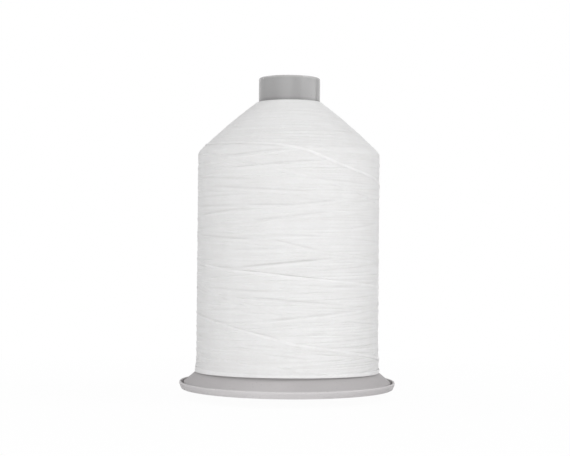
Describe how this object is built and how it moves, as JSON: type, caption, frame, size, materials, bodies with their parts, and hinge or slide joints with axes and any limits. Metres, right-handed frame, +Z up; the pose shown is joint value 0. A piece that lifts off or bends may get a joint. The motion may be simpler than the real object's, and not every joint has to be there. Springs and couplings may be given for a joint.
{
  "type": "waxed thread spool",
  "caption": "King spool of waxed thread: barrel with spindle bore, conical flange, thread package with conical shoulder, and snap base that locks the thread's end.",
  "frame": {"origin": "on the spool's axis, in the plane that the foot ring stands on", "axes": "+Z up along the barrel towards its closed top; X and Y across, with ribs between them"},
  "size_m": [0.084, 0.084, 0.121],
  "materials": {
    "barrel_plastic": "satin moulded, grey",
    "flange_plastic": "satin moulded, grey",
    "base_plastic": "satin moulded, light grey",
    "waxed_thread": "white waxed thread, soft sheen"
  },
  "bodies": {
    "spool": {"barrel": "barrel_plastic", "cone_flange": "flange_plastic", "wound_core": "waxed_thread", "outer_turns": "waxed_thread"},
    "snap_base": {"lock_base": "base_plastic"}
  },
  "joints": [
    {"name": "lock_slide", "type": "slide", "parent": "spool", "child": "snap_base", "axis": [0, 0, -1], "range_m": [0, 0.003]}
  ]
}
